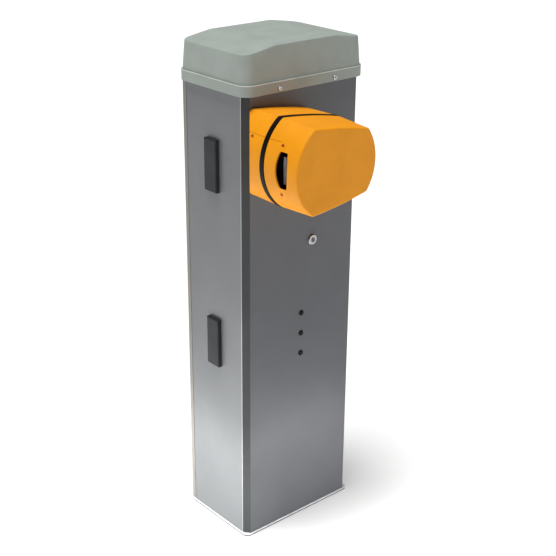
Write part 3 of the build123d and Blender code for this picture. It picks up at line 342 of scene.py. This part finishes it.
case_low, case_high = np.array(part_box("gearcase_rear"))
case_radius = (case_high[0] - case_low[0]) / 2
case_face = case_high[1]
shaft_x = (case_low[0] + case_high[0]) / 2
shaft_z = case_low[2] + case_radius
screw_circle = 0.049
screw_degrees = (20, 212, 250, 290, 328)
screw_profile = np.array([
    (0.0, 0.0001), (0.0, 0.0040), (0.0028, 0.0040), (0.0034, 0.0034), (0.0034, 0.0024), (0.0018, 0.0022),
    (0.0018, 0.0001),
]) + (case_face, 0)
screw_grids = []
for degrees in screw_degrees:
    screw_x = shaft_x + screw_circle * math.cos(math.radians(degrees))
    screw_z = shaft_z + screw_circle * math.sin(math.radians(degrees))
    screw_grids.append(turned_solid(screw_profile, screw_x, screw_z, steps=24))
case_screws = smooth(surface("gearcase_screws", screw_grids, zinc))
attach(case_screws, "cabinet")


# ---------------------------------------------------------------- shaft, gears and limit cam
# Turned and hobbed steel, ground where it runs. The wheel and the cam turn with the shaft, and the pinion is
# driven by the motor.
def turned_steel(name):
    """Turned steel: fine rings round the Y axis seen as drawn-out noise."""
    material, tree, shader = new_material(name)
    rings = object_noise(tree, 90.0, 3.0, 0.6, (0.4, 14.0, 0.4))
    tree.links.new(ramp(tree, rings, (0.30, 0.30, 0.31), (0.48, 0.48, 0.50)), shader.inputs["Base Color"])
    shader.inputs["Metallic"].default_value = 1.0
    finish_range(tree, shader, "Roughness", rings, 0.22, 0.42)
    add_bump(tree, shader, rings, 0.12, 0.0002)
    return material


dress(turned_steel("turned steel"), "output_shaft", "output_gear", "pinion", "limit_cam")


# ---------------------------------------------------------------- motor
# The motor at the gearcase, whose black enamelled case is cast with cooling fins all round between two plain
# ends.
enamel = powder_coat("black enamel", (0.012, 0.013, 0.015), (0.022, 0.023, 0.026), 0.3)
motor_low, motor_high = np.array(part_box("motor"))
motor_x = (motor_low[0] + motor_high[0]) / 2
motor_z = (motor_low[2] + motor_high[2]) / 2
motor_y = motor_low[1]
fin_count = 28
fin_depth = 0.003
fins_start = motor_y + 0.0075
fins_end = motor_y + 0.0585


def cooling_fins(profile, turn):
    """Fins along the case: depth / 2 * (clip(2.4 cos(n t), -1, 1) - 1) on the finned part, 0 elsewhere."""
    wave = np.clip(np.cos(fin_count * turn) * 2.4, -1, 1)
    on_fins = (profile[:, 0] > fins_start) & (profile[:, 0] < fins_end)
    return np.where(on_fins[:, None], fin_depth / 2 * (wave - 1)[None, :], 0.0)


motor_profile = np.array([
    (0.0110, 0.0001), (0.0110, 0.0066), (0.0, 0.0066), (0.0, 0.0262), (0.0008, 0.0270), (0.0062, 0.0270),
    (0.0070, 0.0262), (0.0072, 0.0262), (0.0080, 0.0266), (0.0300, 0.0268), (0.0580, 0.0266),
    (0.0590, 0.0262), (0.0592, 0.0268), (0.0700, 0.0268), (0.0732, 0.0257), (0.0748, 0.0235),
    (0.0750, 0.0205), (0.0750, 0.0192), (0.0795, 0.0190), (0.0808, 0.0178), (0.0808, 0.0001),
]) + (motor_y, 0)
motor_grid = turned_solid(motor_profile, motor_x, motor_z, cooling_fins, 12 * fin_count)
finned_motor = smooth(surface("finned_motor", motor_grid, enamel), 50)
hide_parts("motor")
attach(finned_motor, "cabinet")


# ---------------------------------------------------------------- limit switches, stops and control box
# Inside the cabinet, the switches are moulded in black plastic and the stops are black rubber. The control
# box and its lid are light grey plastic on the mounting plate.
def moulded(name, low, high, roughness, grain, depth, specular=0.5):
    """Moulded plastic: even colour with faint flow marks and a fine spark-eroded grain."""
    material, tree, shader = new_material(name)
    tone = object_noise(tree, 22.0, 3.0, 0.5)
    tree.links.new(ramp(tree, tone, low, high), shader.inputs["Base Color"])
    gloss = object_noise(tree, 130.0, 3.0)
    finish_range(tree, shader, "Roughness", gloss, roughness - 0.05, roughness + 0.05)
    shader.inputs["Specular IOR Level"].default_value = specular
    add_bump(tree, shader, object_noise(tree, grain, 2.0), depth, 0.0003)
    return material


black_plastic = moulded("black plastic", (0.010, 0.010, 0.011), (0.016, 0.016, 0.018), 0.42, 1500.0, 0.2)
dress(black_plastic, "open_limit_switch", "closed_limit_switch")
bumper_rubber = moulded("bumper rubber", (0.014, 0.014, 0.014), (0.024, 0.023, 0.022), 0.75, 700.0, 0.4)
dress(bumper_rubber, "closed_stop_bumper", "open_stop_bumper")
box_plastic = moulded("light grey plastic", (0.42, 0.43, 0.43), (0.48, 0.49, 0.49), 0.5, 900.0, 0.15)
dress(box_plastic, "control_box", "control_lid")

# ---------------------------------------------------------------- balance spring
# Oil-tempered spring wire, closely wound, between the link eye above and the threaded plug below. In the gate
# its length changes as the lever turns; this coil is built at one fixed length.
spring_low, spring_high = np.array(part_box("balance_spring"))
spring_x = (spring_low[0] + spring_high[0]) / 2
spring_y = (spring_low[1] + spring_high[1]) / 2


def coil_spring(name, material, wire, turns, steps=30, sides=10):
    """Round wire along a helix that lies closer in its last two turns at each end.

    A point of the helix is at cx + R cos a, cy + R sin a, and its height grows with the share of the pitch
    passed so far; the wire's section is a circle in the plane of the radius and the axis.
    """
    radius = (spring_high[0] - spring_low[0]) / 2 - wire / 2
    angle = np.linspace(0, 2 * math.pi * turns, int(turns * steps) + 1)
    from_end = np.minimum(angle, angle[-1] - angle) / (2 * math.pi)
    pitch = 0.80 + 0.20 * np.clip((from_end - 1.6) / 0.8, 0, 1)
    climb = np.concatenate([[0], np.cumsum((pitch[1:] + pitch[:-1]) / 2)])
    height = spring_low[2] + wire / 2 + climb / climb[-1] * (spring_high[2] - spring_low[2] - wire)
    round_wire = np.linspace(0, 2 * math.pi, sides, endpoint=False)
    out = radius + wire / 2 * np.cos(round_wire)[None, :]
    grid = np.empty((len(angle), sides, 3))
    grid[..., 0] = spring_x + out * np.cos(angle)[:, None]
    grid[..., 1] = spring_y + out * np.sin(angle)[:, None]
    grid[..., 2] = height[:, None] + wire / 2 * np.sin(round_wire)[None, :]
    return smooth(surface(name, grid[:, ::-1], material), 60)


spring_wire = turned_steel("oiled spring wire")
coil = coil_spring("balance_spring_coil", spring_wire, 0.0043, 34)
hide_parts("balance_spring")
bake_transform(coil)

# ---------------------------------------------------------------- fixed collar and black ring
# The collar's two shells are injection moulded in orange-yellow plastic and screwed to the front panel; a
# black moulded ring closes their end and hides the gap to the turning cover.
orange = moulded("orange yellow plastic", (0.82, 0.305, 0.006), (0.88, 0.330, 0.008), 0.50, 1100.0, 0.10, 0.2)
dress(orange, "upper_collar_shell", "lower_collar_shell")
# One near-black plastic: the band ring's own colour, and painted shade on the hole plugs.
black_ring_and_hole_shade_low, black_ring_and_hole_shade_high = (0.004, 0.003, 0.003), (0.006, 0.005, 0.004)
black_ring_and_hole_shade = moulded("matt black plastic and painted hole shade", black_ring_and_hole_shade_low, black_ring_and_hole_shade_high, 0.5, 1500.0, 0.1, 0.12)
dress(black_ring_and_hole_shade, "band_ring")

# ---------------------------------------------------------------- turning head cover
# One deep moulding in the same orange-yellow plastic, held to the hub flange's pillars by two sunk screws.
# These screws and the collar's are coloured reddish brown as painted shade, the dark orange of their
# recesses.
dress(orange, "head_cover")
# Reddish-brown screw coat: painted shade of the orange recesses.
screw_painted_shade = powder_coat("screw brown as painted shade", (0.46, 0.115, 0.020), (0.58, 0.155, 0.030), 0.36, 0.25)
dress(screw_painted_shade, "collar_screw", "upper_head_screw", "lower_head_screw")

# ---------------------------------------------------------------- photocell housings and hole plugs
# Black plastic mouldings: two photocell housings snapped into the lane side, and three plugs in the spare
# holes of the front panel. The plugs' near-black is painted shade for the dark holes.
cell_low, cell_high = (0.020, 0.022, 0.025), (0.028, 0.030, 0.034)
cell_plastic = moulded("photocell plastic", cell_low, cell_high, 0.45, 1300.0, 0.12, 0.2)
dress(cell_plastic, "upper_sensor_cover", "lower_sensor_cover")
# The plugs' near-black is painted shade for the dark holes.
dress(black_ring_and_hole_shade, "hole_plug_1", "hole_plug_2", "hole_plug_3")


# ---------------------------------------------------------------- locks
# Chrome-plated die-cast cam locks, the front one for the emergency release and the rear one for the door.
# Each has a dark steel plug.
def chromed(name):
    """Chrome plating with a few fine scratches in its gloss."""
    material, tree, shader = new_material(name)
    scratches = object_noise(tree, 300.0, 4.0, 0.7, (1.0, 1.0, 8.0))
    tree.links.new(ramp(tree, scratches, (0.30, 0.30, 0.31), (0.46, 0.46, 0.47)), shader.inputs["Base Color"])
    shader.inputs["Metallic"].default_value = 1.0
    finish_range(tree, shader, "Roughness", scratches, 0.08, 0.22)
    return material


chrome = chromed("chrome plating")
dress(chrome, "release_lock_barrel", "door_lock_barrel")
plug_steel = zinc_plate("lock plug steel", (0.10, 0.10, 0.10), (0.18, 0.18, 0.18), 0.3)
dress(plug_steel, "release_lock_plug", "door_lock_plug")

# ---------------------------------------------------------------- cap and its screws
# A grey-green moulded cap with a stepped skirt, dropped over the sheets and held by two zinc-plated screws in
# front.
cap_low, cap_high = (0.330, 0.368, 0.340), (0.362, 0.402, 0.372)
cap_plastic = moulded("grey cap plastic", cap_low, cap_high, 0.55, 800.0, 0.22, 0.2)
dress(cap_plastic, "cap")
dress(zinc, "left_cap_screw", "right_cap_screw")


# ---------------------------------------------------------------- bead on the cap's skirt
# A fine raised line moulded round the top of the skirt, coloured lighter than the cap as a painted highlight.
skirt_half = np.array(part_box("cap"))[1]
skirt_top = 0.939


def skirt_bead(name, material, inset=0.0005, radius=0.0009, corner=0.0235):
    """Circle section carried along a rounded rectangle round the skirt.

    A point is at path + r cos s * outward, with z = top - 0.6 mm - r sin s; the path's quarter circles have
    their centres a corner radius inside the rectangle.
    """
    half = skirt_half[:2] - inset
    turn = np.linspace(0, math.pi / 2, 13)
    quarter = np.stack([np.cos(turn), np.sin(turn)], axis=1)
    corners = []
    for step, signs in enumerate(((1, 1), (-1, 1), (-1, -1), (1, -1))):
        cosine, sine = math.cos(step * math.pi / 2), math.sin(step * math.pi / 2)
        outward = quarter @ np.array([[cosine, sine], [-sine, cosine]])
        centre = np.array(signs) * (half - corner)
        corners.append(np.concatenate([centre + corner * outward, outward], axis=1))
    path = np.concatenate(corners)
    section = np.linspace(0, 2 * math.pi, 10, endpoint=False)
    out = radius * np.cos(section)
    grid = np.empty((len(path), 10, 3))
    grid[..., 0] = path[:, :1] + out * path[:, 2:3]
    grid[..., 1] = path[:, 1:2] + out * path[:, 3:4]
    grid[..., 2] = skirt_top - 0.0006 - radius * np.sin(section)
    bead = smooth(surface(name, grid, material, loop=True), 70)
    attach(bead, "cabinet")


# Lighter plastic of the bead: painted highlight.
bead_painted_highlight = moulded("cap edge painted highlight", (0.47, 0.50, 0.46), (0.56, 0.59, 0.55), 0.42, 900.0, 0.05)
skirt_bead("cap_skirt_bead", bead_painted_highlight)


# ---------------------------------------------------------------- floor, light and camera
# A pale studio floor, a wide soft light overhead, low soft lights that lift the lower part of the lane side
# and the front, a weak fill in front, and a long lens from the front left.
def stage_floor(half=30.0, drop=0.0005):
    """Wide flat floor just under the base plate."""
    corners = np.array([(-half, -half, 0), (half, -half, 0), (half, half, 0), (-half, half, 0)])
    corners = corners - (0, 0, drop)
    mesh = bpy.data.meshes.new("floor")
    mesh.from_pydata(corners.tolist(), [], [(0, 1, 2, 3)])
    floor = bpy.data.objects.new("floor", mesh)
    bpy.context.collection.objects.link(floor)
    material, tree, shader = new_material("pale floor")
    tone = object_noise(tree, 0.8, 2.0)
    tree.links.new(ramp(tree, tone, (0.86, 0.86, 0.86), (0.88, 0.88, 0.88)), shader.inputs["Base Color"])
    shader.inputs["Roughness"].default_value = 0.9
    shader.inputs["Emission Color"].default_value = (1, 1, 1, 1)
    shader.inputs["Emission Strength"].default_value = 0.14
    mesh.materials.append(material)


def soft_light(name, place, target, width, height, power):
    """Rectangular soft light that faces its target."""
    data = bpy.data.lights.new(name, "AREA")
    data.shape = "RECTANGLE"
    data.size = width
    data.size_y = height
    data.energy = power
    lamp = bpy.data.objects.new(name, data)
    lamp.location = place
    lamp.rotation_euler = (Vector(target) - Vector(place)).to_track_quat("-Z", "Y").to_euler()
    bpy.context.collection.objects.link(lamp)


def aim_camera():
    """Camera turned by its azimuth, elevation and a small roll, with no shift."""
    azimuth = math.radians(-40.86)
    elevation = math.radians(23.10)
    roll = math.radians(0.465)
    right = Vector((math.cos(azimuth), math.sin(azimuth), 0))
    level = math.cos(elevation)
    back = Vector((math.sin(azimuth) * level, -math.cos(azimuth) * level, math.sin(elevation)))
    up = back.cross(right)
    turned_right = math.cos(roll) * right + math.sin(roll) * up
    turned_up = math.cos(roll) * up - math.sin(roll) * right
    data = bpy.data.cameras.new("camera")
    data.sensor_width = 36.0
    data.lens = 74.29
    camera = bpy.data.objects.new("camera", data)
    turn = Matrix((turned_right, turned_up, back)).transposed().to_4x4()
    camera.matrix_world = Matrix.Translation((-1.3785, -1.6159, 1.4150)) @ turn
    bpy.context.collection.objects.link(camera)
    bpy.context.scene.camera = camera


stage_floor()
sun = bpy.data.lights.new("overhead", "SUN")
sun.energy = 3.62
sun.angle = math.radians(30)
sun_lamp = bpy.data.objects.new("overhead", sun)
sun_lamp.rotation_euler = Vector((-0.18, 0.0, 1)).to_track_quat("Z", "Y").to_euler()
bpy.context.collection.objects.link(sun_lamp)
soft_light("low left", (-0.31, 0.05, 0.04), (0, 0.05, 0.06), 0.9, 0.07, 1.25)
soft_light("left wash", (-0.75, 0.05, 0.10), (0, 0.05, 0.22), 0.9, 0.16, 1.9)
soft_light("low front", (0.0, -0.34, 0.04), (0, 0, 0.06), 0.7, 0.07, 0.75)
soft_light("front fill", (0.5, -2.4, 0.95), (0, 0, 0.90), 1.2, 0.8, 2.5)
world = bpy.data.worlds.new("studio")
world.use_nodes = True
world.node_tree.nodes["Background"].inputs["Color"].default_value = (1, 1, 1, 1)
world.node_tree.nodes["Background"].inputs["Strength"].default_value = 0.06
bpy.context.scene.world = world
bpy.context.scene.view_settings.view_transform = "Standard"
aim_camera()
